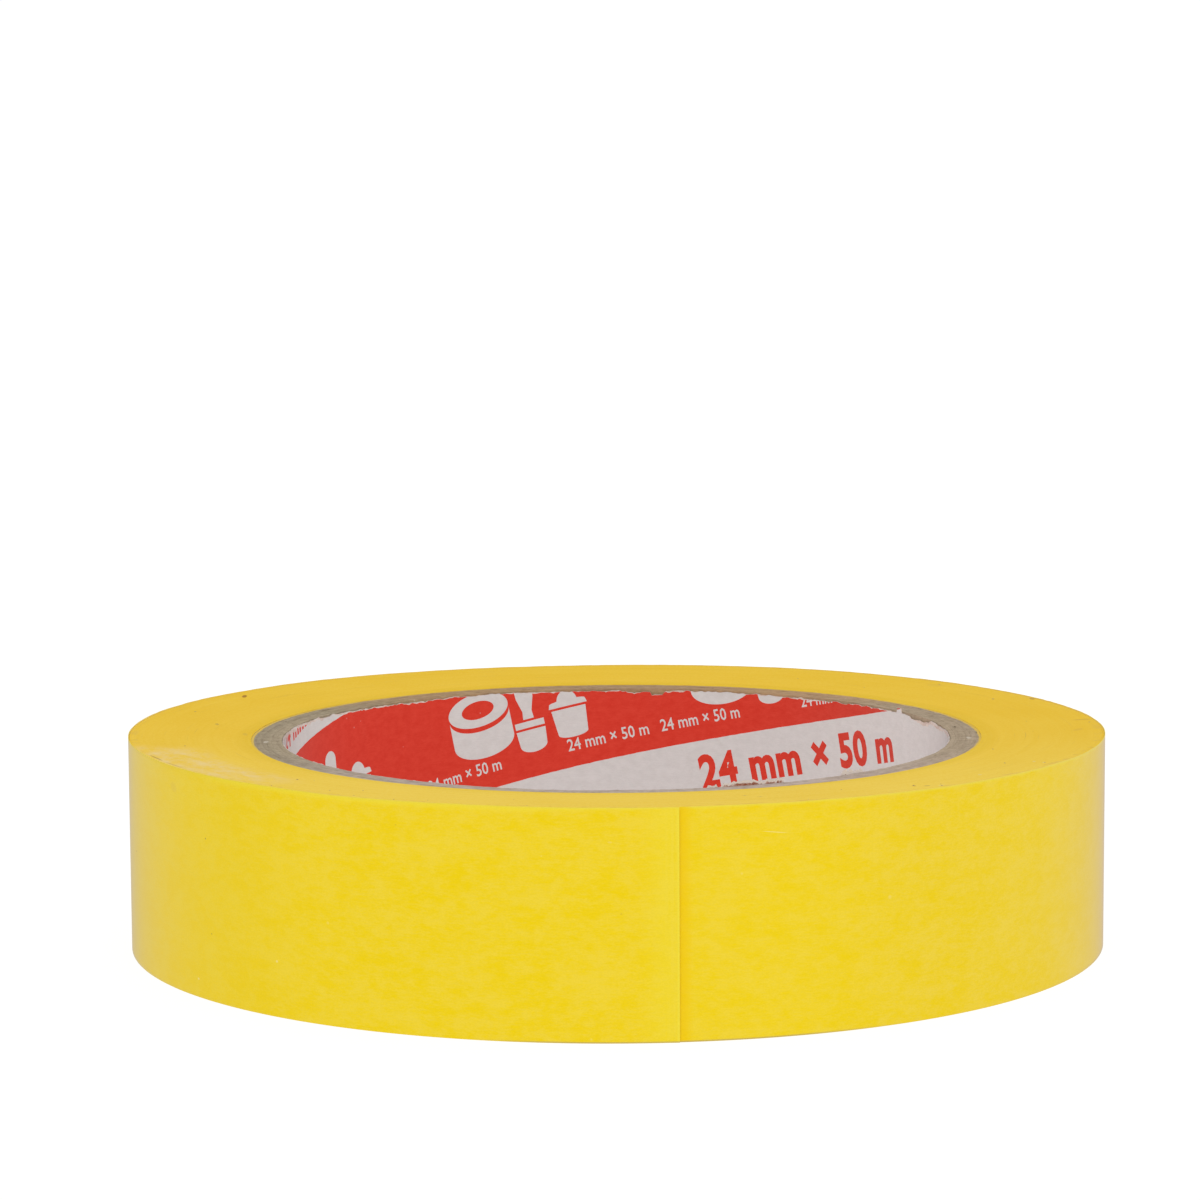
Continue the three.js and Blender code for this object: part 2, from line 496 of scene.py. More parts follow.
def edges_material(name):
    """The slit edges of the laps, seen on the roll's faces."""
    n = Nodes(name)
    p = n.attribute("rest_mm")
    x, y, z = n.split(p)
    r = n.math("SQRT", n.add(n.mul(x, x), n.mul(y, y)))
    # fine lines that follow the laps, fading in and out along them
    fine = n.noise(n.vector(n.mul(x, 0.03), n.mul(y, 0.03), n.mul(r, 5.0)), 1.0, 3.0, 0.65)
    wide = n.noise(n.vector(n.mul(x, 0.05), n.mul(y, 0.05), n.mul(r, 1.1)), 1.0, 3.0, 0.55)
    patch = n.noise(p, 0.10, 3.0, 0.5)
    grit = n.noise(p, 3.2, 3.0, 0.6)
    sand = n.noise(n.vector(n.mul(x, 2.6), n.mul(y, 1.3), 3.0), 1.0, 3.0, 0.7)
    tone = n.add(
        n.add(n.mul(fine, 0.22), n.mul(sand, 0.42)), n.add(n.mul(wide, 0.16), n.mul(patch, 0.2))
    )
    paler_to_front = n.step(y, 5.0, -45.0)  # paler towards the front
    deep = n.mix(paler_to_front, (0.850, 0.535, 0.026), (0.865, 0.585, 0.050))
    light = n.mix(paler_to_front, (0.885, 0.590, 0.052), (0.915, 0.660, 0.092))
    color = n.mix(n.step(tone, 0.34, 0.66), deep, light)
    # the oldest laps, next to the core, are deeper in colour
    color = n.mix(
        n.step(r, 44.2, 42.2), color, n.mix(1.0, color, (0.955, 0.955, 0.80), "MULTIPLY")
    )
    # dark hairlines: dust caught between two laps
    line = n.noise(n.vector(n.mul(x, 0.09), n.mul(y, 0.09), n.mul(r, 9.0)), 1.0, 1.0, 0.4)
    color = n.mix(n.mul(n.step(line, 0.70, 0.80), 0.5), color, (0.52, 0.33, 0.08))
    color = n.mix(n.mul(n.step(grit, 0.62, 0.80), 0.12), color, (0.62, 0.42, 0.10))
    # a broken dark line where the last lap stands off the one before: painted shadow of that step, stronger at the
    # front
    chip = n.noise(n.vector(n.mul(x, 0.5), n.mul(y, 0.5), 5.0), 1.0, 4.0, 0.7)
    painted_step_shadow = n.mul(n.step(r, 54.2, 54.8), n.step(chip, 0.50, 0.60))
    color = n.mix(n.mul(painted_step_shadow, n.step(y, 10.0, -20.0, 0.14, 0.40)), color, (0.66, 0.42, 0.10))
    # scuffed rim, front left
    angle = n.mul(n.math("ARCTAN2", x, n.mul(y, -1.0)), 180 / math.pi)
    scuff_zone = n.mul(
        n.mul(n.step(angle, -78, -69), n.step(angle, -39, -50)), n.step(r, 46.5, 50.5)
    )
    scuff = n.noise(n.vector(n.mul(x, 0.45), n.mul(y, 0.22), n.mul(r, 0.35)), 1.0, 5.0, 0.72)
    color = n.mix(
        n.mul(scuff_zone, n.step(scuff, 0.36, 0.66, 0.10, 0.88)), color, (0.86, 0.64, 0.27)
    )
    # the very rim is paler at the front: a painted highlight along the edge, over bare paper fibre
    rim_highlight_and_fibre = n.mul(n.step(r, 54.75, 55.25), n.step(y, -15.0, -35.0))
    color = n.mix(n.mul(rim_highlight_and_fibre, 0.45), color, (0.80, 0.585, 0.12))
    for at, size, turn, shade, amount in RIM_SPOTS:
        color = n.mix(n.mul(n.spot(x, y, at, size, turn), amount), color, shade)
    dust = n.specks(n.vector(x, y, 0.0), 0.16, 0.045, 0.22, 5.0)
    color = n.mix(n.mul(dust, 0.6), color, (0.40, 0.25, 0.06))
    dashes = n.specks(n.vector(n.mul(x, 0.7), n.mul(y, 0.22), 0.0), 0.9, 0.10, 0.25, 9.0)
    dashes = n.mul(dashes, n.step(x, 5.0, 30.0))
    color = n.mix(n.mul(dashes, 0.4), color, DUST)
    height = n.add(n.mul(fine, 1.0), n.mul(grit, 0.3))
    return n.surface(color, 0.8, n.bump(height, 0.03, 0.3))


BROWN, DUST, CHALK = (0.29, 0.10, 0.022), (0.50, 0.33, 0.075), (0.84, 0.70, 0.34)
RIM_SPOTS = [
    # centre, half axes, turn, colour, strength
    ((-45.34, 27.51), (0.36, 1.2), 0, BROWN, 0.75),
    ((-49.96, 14.74), (0.16, 0.5), 0, DUST, 0.5),
    ((-46.46, 6.41), (0.3, 0.9), 12, DUST, 0.45),
    ((-42.6, 0.3), (0.35, 1.2), 8, DUST, 0.25),
    ((-33.66, -34.91), (0.16, 0.35), 0, DUST, 0.7),
    ((45.60, 23.45), (0.18, 0.5), 0, DUST, 0.6),
    ((41.79, -14.18), (0.14, 0.4), 0, DUST, 0.55),
    ((41.85, -26.34), (0.16, 0.45), 0, DUST, 0.55),
    ((39.61, 35.35), (1.2, 1.6), 30, DUST, 0.12),
    ((50.20, 22.41), (0.35, 0.8), 10, (0.42, 0.22, 0.06), 0.6),
    ((54.0, 4.6), (1.3, 0.5), 0, (0.60, 0.33, 0.06), 0.45),
    ((52.6, -3.0), (1.2, 0.6), 60, (0.66, 0.38, 0.06), 0.3),
    ((30.81, -42.02), (0.22, 0.5), 20, BROWN, 0.6),
    ((32.10, -42.50), (0.45, 0.35), 36, DUST, 0.7),
    ((33.60, -42.60), (0.5, 0.25), 36, CHALK, 0.6),
    ((44.96, -26.43), (0.2, 0.4), 0, CHALK, 0.7),
    ((45.88, -27.85), (0.2, 0.4), 0, CHALK, 0.7),
    ((38.31, -35.06), (0.25, 0.4), 0, CHALK, 0.6),
    ((13.18, -45.94), (0.5, 0.12), 16, DUST, 0.6),
    ((14.67, -47.23), (0.4, 0.1), 17, BROWN, 0.4),
    ((-50.0, -22.6), (2.6, 0.14), -65, (0.40, 0.25, 0.07), 0.75),
    ((-47.6, -27.4), (2.4, 0.13), -60, (0.50, 0.33, 0.09), 0.6),
]


BOARD_MARKS = [
    # chips and specks on the core's end: centre, half axes, turn, colour, strength
    ((40.1, -3.71), (0.35, 0.9), 0, (0.62, 0.55, 0.45), 0.8),
    ((-39.76, -4.5), (0.35, 0.9), 0, (0.62, 0.55, 0.45), 0.7),
    ((41.35, -0.21), (0.16, 0.6), 0, (0.12, 0.09, 0.05), 0.8),
    ((39.29, 4.57), (0.16, 0.7), 0, (0.12, 0.09, 0.05), 0.8),
]


def board_material(name, tone):
    """Grey core board, seen on edge: long fibres pressed flat, in laminations."""
    n = Nodes(name)
    p = n.attribute("rest_mm")
    x, y, z = n.split(p)
    r = n.math("SQRT", n.add(n.mul(x, x), n.mul(y, y)))
    fibres = n.noise(
        n.vector(n.mul(x, 0.9), n.mul(y, 0.9), n.add(n.mul(r, 5.0), n.mul(z, 6.0))),
        1.0,
        5.0,
        0.7,
    )
    lamina = n.noise(
        n.vector(n.mul(x, 0.12), n.mul(y, 0.12), n.mul(r, 4.0)), 1.0, 2.0, 0.5
    )
    fluff = n.noise(p, 0.9, 6.0, 0.68)
    value = n.add(n.mul(fibres, 0.32), n.add(n.mul(lamina, 0.22), n.mul(fluff, 0.46)))
    dark, light = (0.277, 0.222, 0.150), (0.437, 0.362, 0.252)
    color = n.mix(
        n.step(n.add(value, tone), 0.34, 0.66),
        dark,
        light,
    )
    # paler towards the right, and more so at the front; browner at the back
    for towards, tint in (
        (n.step(x, 0.0, 40.0), (1.15, 1.10, 1.115)),
        (n.step(y, -10.0, -38.0), (1.33, 1.335, 1.66)),
        (n.step(y, 18.0, 34.0), (1.17, 0.94, 0.76)),
        (n.mul(n.step(x, -33.0, -37.0), n.step(r, 40.2, 39.0)), (1.10, 1.09, 1.09)),
    ):
        color = n.mix(towards, color, n.mix(1.0, color, tint, "MULTIPLY"))
    flecks = n.specks(p, 1.1, 0.22, 0.12, 2.0)
    color = n.mix(n.mul(flecks, 0.5), color, (0.62, 0.56, 0.46))
    bits = n.specks(p, 0.8, 0.16, 0.10, 8.0)
    color = n.mix(n.mul(bits, 0.5), color, (0.10, 0.07, 0.045))
    for at, size, turn, shade, amount in BOARD_MARKS:
        color = n.mix(n.mul(n.spot(x, y, at, size, turn), amount), color, shade)
    # adhesive from the first lap, squeezed over the outermost ply
    creep = n.noise(n.vector(n.mul(x, 0.7), n.mul(y, 0.7), 2.0), 1.0, 3.0, 0.6)
    smear = n.step(n.add(r, n.mul(n.sub(creep, 0.5), 0.35)), 41.34, 41.46)
    color = n.mix(n.mul(smear, 0.9), color, (0.79, 0.54, 0.09))
    return n.surface(
        color, 0.92, n.bump(n.add(fibres, n.mul(fluff, 0.5)), 0.10, 0.6)
    )


def print_material(name, deep, light, amount=1.0, right_light_tint=(1.10, 1.10, 1.10)):
    """Ink, or bare paper, on the liner: uncoated stock with a soft tooth."""
    n = Nodes(name)
    p = n.attribute("print_mm")
    u, z, _ = n.split(p)
    cloud = n.noise(n.vector(n.mul(u, 0.8), n.mul(z, 1.2), 1.0), 1.0, 5.0, 0.62)
    fibre = n.noise(n.vector(n.mul(u, 1.6), n.mul(z, 6.0), 4.0), 1.0, 3.0, 0.6)
    tooth = n.noise(n.vector(u, z, 2.0), 7.0, 2.0, 0.6)
    value = n.add(n.mul(cloud, 0.5), n.add(n.mul(fibre, 0.3), n.mul(tooth, 0.2)))
    color = n.mix(n.step(value, 0.34, 0.66), deep, light)
    # lighter towards the right: painted light that lifts the shade inside the bore there; the red also turns pinker
    painted_light_right = n.mul(n.step(u, 14.0, 50.0), n.step(u, 110.0, 70.0))
    color = n.mix(painted_light_right, color, n.mix(1.0, color, right_light_tint, "MULTIPLY"))
    skip = n.specks(n.vector(u, z, 0.0), 0.7, 0.10, 0.16, 6.0)
    color = n.mix(n.mul(skip, 0.35 * amount), color, (0.62, 0.50, 0.47))
    return n.surface(
        color, n.ramp(fibre, 0.3, 0.7, 0.40, 0.55), n.bump(value, 0.02, 0.5), gloss=0.42
    )


def torn_back_material(name):
    """The back of the liner: brown glue-stained fibre, paler where the top layer has torn away."""
    n = Nodes(name)
    u, z, depth = n.split(n.attribute("print_mm"))
    tear = n.noise(n.vector(n.mul(u, 2.4), n.mul(z, 5.0), 0.0), 1.0, 4.0, 0.7)
    ragged = n.noise(n.vector(n.mul(u, 1.5), n.mul(z, 2.0), 4.0), 1.0, 3.0, 0.7)
    color = n.mix(n.step(tear, 0.42, 0.60), (0.30, 0.085, 0.040), (0.62, 0.36, 0.27))
    far = n.mul(n.step(u, 97.0, 95.0), 0.22)
    white = n.step(n.sub(n.add(depth, n.mul(n.sub(ragged, 0.5), 0.6)), far), 0.32, 0.18)
    color = n.mix(white, color, (0.84, 0.76, 0.70))
    return n.surface(color, 0.9, n.bump(tear, 0.05, 0.5))


washi = washi_material("washi_face")
cut_edge = cut_material("cut_edge")
adhesive = adhesive_material("adhesive_face")
crumbs = crumb_material("dust_crumbs")
edges = edges_material("slit_edges")
red_ink = print_material(
    "red_ink", (0.655, 0.037, 0.020), (0.722, 0.056, 0.033), 1.0, (0.95, 1.50, 1.85)
)
white_stock = print_material("bare_stock", (0.625, 0.590, 0.570), (0.700, 0.665, 0.645), 0)
torn_back = torn_back_material("torn_back")
torn_stock = print_material("torn_stock", (0.56, 0.40, 0.33), (0.76, 0.68, 0.62), 0)
boards = [
    board_material(f"core_board_{i + 1}", tone)
    for i, tone in enumerate((0.015, -0.01, 0.015, -0.02, 0.01, -0.01))
]


# ---- the roll -------------------------------------------------------------------------


def outside_of_strip(back):
    return ROLL_R - TAPE_T * np.asarray(back, float) / 360


def out_of_round(back):
    """A roll that has been handled isn't quite round: it swells a little at its sides, more at the right."""
    side = np.sin((FREE_END_DEG - np.asarray(back, float)) * RAD)
    return 0.13 * side**2 + 0.07 * side * np.abs(side)


def rim_rise(deg):
    """The outermost laps don't end quite in one plane: they stand up a little round the left, and at the right front."""
    table = [
        (-180, -0.08), (-165, -0.08), (-150, 0.02), (-135, 0.06), (-120, 0.13), (-110, 0.16),
        (-90, 0.22), (-60, 0.28), (-45, 0.22), (-30, 0.13), (-15, 0.11), (0, 0.035), (6, 0.02),
        (15, 0.07), (30, 0.105), (45, 0.20), (60, 0.22), (75, 0.17), (90, 0.08), (110, -0.05),
        (120, -0.04), (135, -0.02), (150, 0.04), (165, 0.03), (180, -0.08),
    ]
    grid = np.arange(-180, 180)
    values = np.interp(grid, *zip(*table))
    kernel = np.exp(-0.5 * (np.arange(-15, 16) / 5.0) ** 2)
    kernel /= kernel.sum()
    values = np.convolve(np.concatenate([values[-15:], values, values[:15]]), kernel, "valid")
    return np.interp(np.asarray(deg, float) % 360, np.arange(361), values[np.arange(180, 541) % 360])


edge_wave = Wave(11, 400.0, 9.0, 3)
edge_teeth = Wave(12, 400.0, 0.9, 2, 0.7)


def strip(name, back_a, back_b, step=1.0, lift_end=False):
    """A length of the last lap from back_a to back_b degrees behind the cut end, closed at both ends."""
    count = max(2, int(round((back_b - back_a) / step)) + 1)
    back = np.linspace(back_a, back_b, count)
    if lift_end:  # finer towards the cut
        t = np.linspace(0, 1, count + 14)
        back = back_a + (back_b - back_a) * t**1.8
        count = len(back)
    s = back * RAD * ROLL_R
    outer = outside_of_strip(back) + out_of_round(back)
    if lift_end:  # the cut edge stands off the lap below by a hair
        outer = outer + 0.07 * np.exp(-s / 1.1)
    inner = outer - PAPER_T
    wave = 0.022 * edge_wave(s) + 0.014 * edge_teeth(s)
    low, high = TAPE_BOTTOM + 0.004, TAPE_TOP + 0.02
    b = 0.018  # rounding of the slit edges
    rows = [low + b, low + 0.4, 4.0, 8.0, 12.0, 16.0, 20.0, high - 0.4, high - b]
    ring = []  # (inward share of the thickness, height, how much it follows the edge wave)
    for h in rows:
        ring.append((0.0, h, max(0.0, (h - 12) / 12)))
    ring.append((0.22, high, 1.0))
    ring.append((0.78, high, 1.0))
    for h in reversed(rows):
        ring.append((1.0, h, max(0.0, (h - 12) / 12)))
    ring.append((0.78, low, 0.0))
    ring.append((0.22, low, 0.0))
    verts, coords = [], []
    deg = FREE_END_DEG - back
    wave = wave + rim_rise(deg)
    for share, h, follow in ring:
        r = outer + (inner - outer) * share
        xy = on_plan(r, deg)
        verts.append(np.column_stack([xy, h + follow * wave]))
        coords.append(np.column_stack([s, np.full(count, h), np.full(count, share)]))
    around = len(ring)
    verts = np.stack(verts, 1).reshape(-1, 3)
    coords = np.stack(coords, 1).reshape(-1, 3)
    quads = grid_faces(count, around, False)
    faces = [tuple(q) for q in quads]
    m = len(rows)
    kinds = [0] * (m - 1) + [2] * 3 + [1] * (m - 1) + [2] * 3
    side = np.tile(kinds, count - 1).tolist()
    faces.append(tuple(range(around)))
    faces.append(tuple(reversed(range((count - 1) * around, count * around))))
    side += [2, 2]
    obj = make_mesh(
        name, verts, faces, [washi, adhesive, cut_edge], side, {"strip": coords}, 50
    )
    return orient(obj)


def orient(obj):
    """Turns every face outwards."""
    import bmesh

    b = bmesh.new()
    b.from_mesh(obj.data)
    bmesh.ops.recalc_face_normals(b, faces=b.faces)
    if b.calc_volume(signed=True) < 0:
        bmesh.ops.reverse_faces(b, faces=b.faces)
    b.to_mesh(obj.data)
    b.free()
    return obj


outer_lap = strip("outer_lap", ROOT_BACK, UNDER_BACK)
# each stretch of the free end carries one hinge
ROOT_TO_MIDDLE = ROOT_BACK - 6.5
MIDDLE_TO_TIP = (MIDDLE_BACK + TIP_BACK) / 2
end_root = strip("end_root_strip", ROOT_TO_MIDDLE, ROOT_BACK, 0.2)
end_middle = strip("end_middle_strip", MIDDLE_TO_TIP, ROOT_TO_MIDDLE, 0.35)
end_tip = strip("end_tip_strip", 0.0, MIDDLE_TO_TIP, 0.5, lift_end=True)

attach(outer_lap, "roll")
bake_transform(end_root)
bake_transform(end_middle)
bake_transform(end_tip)
for piece, node in (
    (outer_lap, "tape_outer_lap"),
    (end_root, "tape_end_root"),
    (end_middle, "tape_end_middle"),
    (end_tip, "tape_end_tip"),
):
    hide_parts(node)


# dust on the upper face: radius, angle, half width, height
CRUMBS = [
    (48.5, -43.9, 0.13, 0.16),
    (47.6, -41.9, 0.08, 0.10),
    (54.5, -41.0, 0.10, 0.10),
    (52.6, -34.2, 0.12, 0.10),
    (54.3, -29.6, 0.16, 0.09),
    (50.1, -31.5, 0.09, 0.10),
    (54.7, -24.4, 0.12, 0.08),
    (53.8, -20.8, 0.08, 0.10),
    (49.4, -12.2, 0.08, 0.08),
    (54.4, -9.5, 0.10, 0.07),
    (47.8, 16.0, 0.10, 0.10),
    (49.5, 17.3, 0.10, 0.08),
    (54.2, 21.0, 0.09, 0.08),
    (49.0, 28.3, 0.09, 0.09),
    (52.1, 36.2, 0.14, 0.16),
    (54.6, 38.0, 0.16, 0.12),
    (53.6, 38.8, 0.10, 0.12),
    (49.4, 57.8, 0.10, 0.12),
    (44.1, 71.3, 0.10, 0.12),
    (53.8, 58.7, 0.10, 0.12),
    (51.3, 117.2, 0.16, 0.10),
    (55.0, 114.0, 0.20, 0.10),
    (47.0, 139.0, 0.10, 0.10),
    (53.6, 131.5, 0.18, 0.08),
    (52.0, 146.5, 0.12, 0.08),
    (49.0, 152.0, 0.10, 0.08),
    (54.6, 92.3, 0.14, 0.08),
    (49.5, -76.5, 0.10, 0.12),
    (46.9, -98.0, 0.12, 0.12),
    (52.0, -106.5, 0.10, 0.10),
]


def crumb(rng):
    """A lump about the size of one: an uneven octahedron."""
    points = np.array(
        [(1, 0, 0), (-1, 0, 0), (0, 1, 0), (0, -1, 0), (0, 0, 1), (0, 0, -1)], float
    )
    points = points * rng.uniform(0.7, 1.15, (6, 1)) + rng.uniform(-0.15, 0.15, (6, 3))
    hull = [(0, 2, 4), (2, 1, 4), (1, 3, 4), (3, 0, 4), (2, 0, 5), (1, 2, 5), (3, 1, 5), (0, 3, 5)]
    return points, hull


def winding():
    """The laps under the last one. Each lap's slit edge has its own height, so the face is faintly grooved; it also dishes towards the core."""
    turns = 136
    count = 360
    deg = np.arange(count) * 360.0 / count - 180.0
    back = (FREE_END_DEG - deg - ROOT_BACK - 2) % 360 + ROOT_BACK + 2
    out = outside_of_strip(back) + out_of_round(back) - TAPE_T - 0.02
    rng = np.random.default_rng(5)

    def face_noise(laps, seed):
        """laps x angles of height noise, millimetres."""
        rng = np.random.default_rng(seed)
        own = rng.normal(0, 0.003, laps)
        walk = np.cumsum(rng.normal(0, 1, laps + 24))
        walk = np.convolve(walk, np.ones(9) / 9, "same")
        walk = walk - np.convolve(walk, np.ones(25) / 25, "same")
        walk = walk[12 : 12 + laps] * 0.003
        field = np.zeros((laps, count))
        for k in range(1, 9):
            a = rng.normal(0, 1, laps)
            b = rng.normal(0, 1, laps)
            kernel = np.ones(5) / 5
            a, b = np.convolve(a, kernel, "same"), np.convolve(b, kernel, "same")
            field += (
                a[:, None] * np.cos(k * deg * RAD) + b[:, None] * np.sin(k * deg * RAD)
            ) / k**0.6
        return own[:, None] + walk[:, None] + 0.003 * field

    def radius(share):
        return CORE_R + 0.01 + (out - CORE_R - 0.01) * share

    columns, height, kind = [], [], []
    # the face that shows: core to rim
    noise = face_noise(turns + 1, 21)
    for j in range(turns + 1):
        share = j / turns
        dish = 0.68 * (1 - share) ** 1.1
        fall = 0.02 * max(0.0, 1 - j / 3.0) + 0.02 * max(0.0, 1 - (turns - j) / 2.0)
        columns.append(radius(share))
        height.append(TAPE_TOP - 0.035 - dish - fall + noise[j] + rim_rise(deg) * share**1.5)
        kind.append(0)
    for h in (23.6, 12.0, 0.4):
        columns.append(radius(1.0))
        height.append(np.full(count, h))
        kind.append(1)
    lower = 68
    noise = face_noise(lower + 1, 22)
    for j in range(lower, -1, -1):
        share = j / lower
        columns.append(radius(share))
        height.append(TAPE_BOTTOM + 0.03 + np.abs(noise[j]) + 0.05 * (1 - share))
        kind.append(0)
    for h in (0.6, 12.0, 23.1):
        columns.append(radius(0.0))
        height.append(np.full(count, h))
        kind.append(2)
    kind[turns] = 1  # the quad from the last top point down to the wall
    kind[turns + 3] = 1
    kind[turns + 3 + lower + 1] = 2
    around = len(columns)
    verts = np.stack(
        [np.column_stack([on_plan(r, deg), h]) for r, h in zip(columns, height)], 1
    ).reshape(-1, 3)
    coords = np.zeros((count, around, 3))
    coords[:, :, 0] = (back * RAD * ROLL_R + 40.0)[:, None]
    coords[:, :, 1] = verts[:, 2].reshape(count, around)
    quads = [tuple(q) for q in grid_faces(count, around, True)]
    index = np.tile(kind, count).tolist()
    coords = coords.reshape(-1, 3)
    # crumbs of dust stuck to the slit edges
    rng = np.random.default_rng(77)
    for r, phi, size, rise in CRUMBS:
        share = np.clip((r - CORE_R) / (ROLL_R - CORE_R), 0, 1)
        z = TAPE_TOP - 0.035 - 0.68 * (1 - share) ** 1.1 + float(rim_rise(phi)) * share**1.5
        x, y = on_plan(r, np.float64(phi))
        shape, hull = crumb(rng)
        shape = shape * (size, size, rise * 0.6) + (x, y, z + rise * 0.12)
        first = len(verts)
        verts = np.concatenate([verts, shape])
        coords = np.concatenate([coords, shape])
        quads += [tuple(int(v) + first for v in f) for f in hull]
        index += [3] * len(hull)
    obj = make_mesh(
        "tape_laps", verts, quads, [edges, washi, adhesive, crumbs], index, {"strip": coords}, 35
    )
    return orient(obj)


laps = winding()
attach(laps, "roll")
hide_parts("tape_winding")


# ---- the core -------------------------------------------------------------------------


def board_top(deg):
    """Height of the core's end. The tube was cut a little out of square: it is lower at the front."""
    front = np.cos(np.asarray(deg, float) * RAD)
    return BOARD_TOP - 0.14 - 0.08 * front - 0.11 * np.clip(front, 0, 1) ** 3


def ply(i):
    r0 = PLY_R[i]
    r1 = r0 + PLY_T + 0.054
    count = 720
    deg = np.arange(count) * 360.0 / count - 180.0
    length = 2 * math.pi * r0
    s = deg / 360 * length
    seed = 40 + 7 * i
    low = Wave(seed, length, 14.0, 3)
    rough = [Wave(seed + k + 1, length, 1.6, 4, 0.7) for k in range(6)]
    ring = []
    top = board_top(deg) + (0.0, -0.006, 0.004, -0.006, 0.004, 0.0)[i]
    shares = (0.0, 0.12, 0.35, 0.62, 0.88, 1.0)
    for k, share in enumerate(shares):
        rounding = 0.012 if share in (0.0, 1.0) else 0.0
        if i == 5 and share > 0.8:  # adhesive piled against the first lap
            rounding = -0.05 * np.sin(deg * RAD) ** 2
        ring.append(
            (
                r0 + (r1 - r0) * share + 0.004 * rough[(k + 2) % 6](s),
                top - rounding + 0.018 * low(s) + 0.022 * rough[k](s),
            )
        )
    ring.append((np.full(count, r1), np.full(count, 12.0)))
    for k, share in enumerate((1.0, 0.88, 0.5, 0.12, 0.0)):
        rounding = 0.012 if share in (0.0, 1.0) else 0.0
        ring.append(
            (
                np.full(count, r0 + (r1 - r0) * share),
                BOARD_BOTTOM + 0.06 + rounding - 0.018 * rough[k](s + 40),
            )
        )
    ring.append((np.full(count, r0), np.full(count, 12.0)))
    verts = np.stack(
        [np.column_stack([on_plan(r, deg), h]) for r, h in ring], 1
    ).reshape(-1, 3)
    quads = grid_faces(count, len(ring), True)
    obj = make_mesh(
        f"board_ply_{i + 1}", verts, [tuple(q) for q in quads], [boards[i]], None, None, 45
    )
    return orient(obj)


for i in range(6):
    piece = ply(i)
    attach(piece, "roll")
    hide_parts(f"core_ply_{i + 1}")


# ---- the printed liner ----------------------------------------------------------------

AROUND = 2 * math.pi * BORE_R
SLOPE = 11.98 * RAD  # the print runs up round the bore
BAND_LOW, BAND_HIGH, BAND_PERIOD = 14.28, 30.44, AROUND * math.sin(SLOPE)


def along_print(u, z):
    return u * math.cos(SLOPE) + z * math.sin(SLOPE)


def across_print(u, z):
    return z * math.cos(SLOPE) - u * math.sin(SLOPE)


def from_print(a, b):
    return (
        a * math.cos(SLOPE) - b * math.sin(SLOPE),
        a * math.sin(SLOPE) + b * math.cos(SLOPE),
    )


def text_shapes(body, bold=0.0, resolution=3, spacing=1.0):
    """The outline of a line of plain text as line segments, with a cap height of 1 and its left end at 0."""
    curve = bpy.data.curves.new("outline", "FONT")
    curve.body = body
    curve.offset = bold
    curve.resolution_u = resolution
    curve.fill_mode = "FRONT"
    curve.space_character = spacing
    obj = bpy.data.objects.new("outline", curve)
    scene.collection.objects.link(obj)
    bpy.context.view_layer.update()
    mesh = obj.evaluated_get(bpy.context.evaluated_depsgraph_get()).to_mesh()
    co = np.array([v.co[:2] for v in mesh.vertices])
    uses = {}
    for poly in mesh.polygons:
        for key in poly.edge_keys:
            uses[key] = uses.get(key, 0) + 1
    rim = np.array([k for k, c in uses.items() if c == 1])
    obj.to_mesh_clear()
    bpy.data.objects.remove(obj)
    bpy.data.curves.remove(curve)
    seg = co[rim]
    low = seg[..., 0].min()
    seg[..., 0] -= low
    digits = seg[seg[..., 0].mean(1) < 0.5]
    seg[..., 1] -= digits[..., 1].min()
    return seg / digits[..., 1].max()


def loop(points):
    points = np.asarray(points, float)
    return np.stack([points, np.roll(points, -1, 0)], 1)


def circle(x, y, r, count=28):
    t = np.arange(count) * 2 * math.pi / count
    return loop(np.column_stack([x + r * np.cos(t), y + r * np.sin(t)]))


def turned(seg, deg, at):
    c, s = math.cos(deg * RAD), math.sin(deg * RAD)
    return seg @ np.array([[c, s], [-s, c]]) + np.asarray(at, float)


def arc(x, y, rx, ry, start, end, count):
    t = np.linspace(start, end, count) * RAD
    return list(zip(x + rx * np.cos(t), y + ry * np.sin(t)))


def pictograms():
    """A roll of tape, a flat brush and a pot of paint. Each shape is its own even-odd outline."""
    x, rx, ry = 4.1, 4.1, 2.1
    face = loop(arc(x, 6.4, rx, ry, 0, 354, 60))
    hole = loop(arc(x, 6.4, rx * 0.54, ry * 0.52, 0, 350, 36))
    wall = loop(
        arc(x, 5.8, rx, ry, 180, 360, 34) + arc(x, 2.4, rx, ry, 360, 180, 34)
    )
    x = 10.4
    handle = arc(x, 8.0, 1.22, 1.2, 0, 180, 16) + [(x - 1.1, 6.3), (x - 0.6, 4.6), (x - 0.7, 3.6), (x + 0.7, 3.6), (x + 0.6, 4.6), (x + 1.1, 6.3)]
    ferrule = [(x - 1.9, 2.5), (x - 1.9, 3.3), (x + 1.9, 3.3), (x + 1.9, 2.5)]
    hair = [(x + 1.9, 2.2), (x - 1.9, 2.2)] + arc(x, 0.3, 1.75, 0.95, 180, 360, 16)
    x = 15.6
    pot = [(x + 2.2, 3.7), (x - 2.2, 3.7)] + arc(x, 0.55, 1.9, 0.55, 180, 360, 14)
    lid = [(x - 2.45, 4.0), (x + 2.45, 4.0)] + arc(x, 4.55, 2.3, 0.3, 0, 30, 4) + arc(x, 4.55, 1.3, 1.45, 10, 170, 16) + arc(x, 4.55, 2.3, 0.3, 150, 180, 4)
    return [np.concatenate([face, hole]), wall] + [
        loop(outline) for outline in (handle, ferrule, hair, pot, lid)
    ]


big = text_shapes("24 mm × 50 m", 0.040, 4, 1.08)
small = text_shapes("24 mm × 50 m   24 mm × 50 m", 0.012, 2)


def fitted(seg, width, height):
    out = seg.copy()
    out[..., 0] *= width / seg[..., 0].max()
    out[..., 1] *= height
    return out


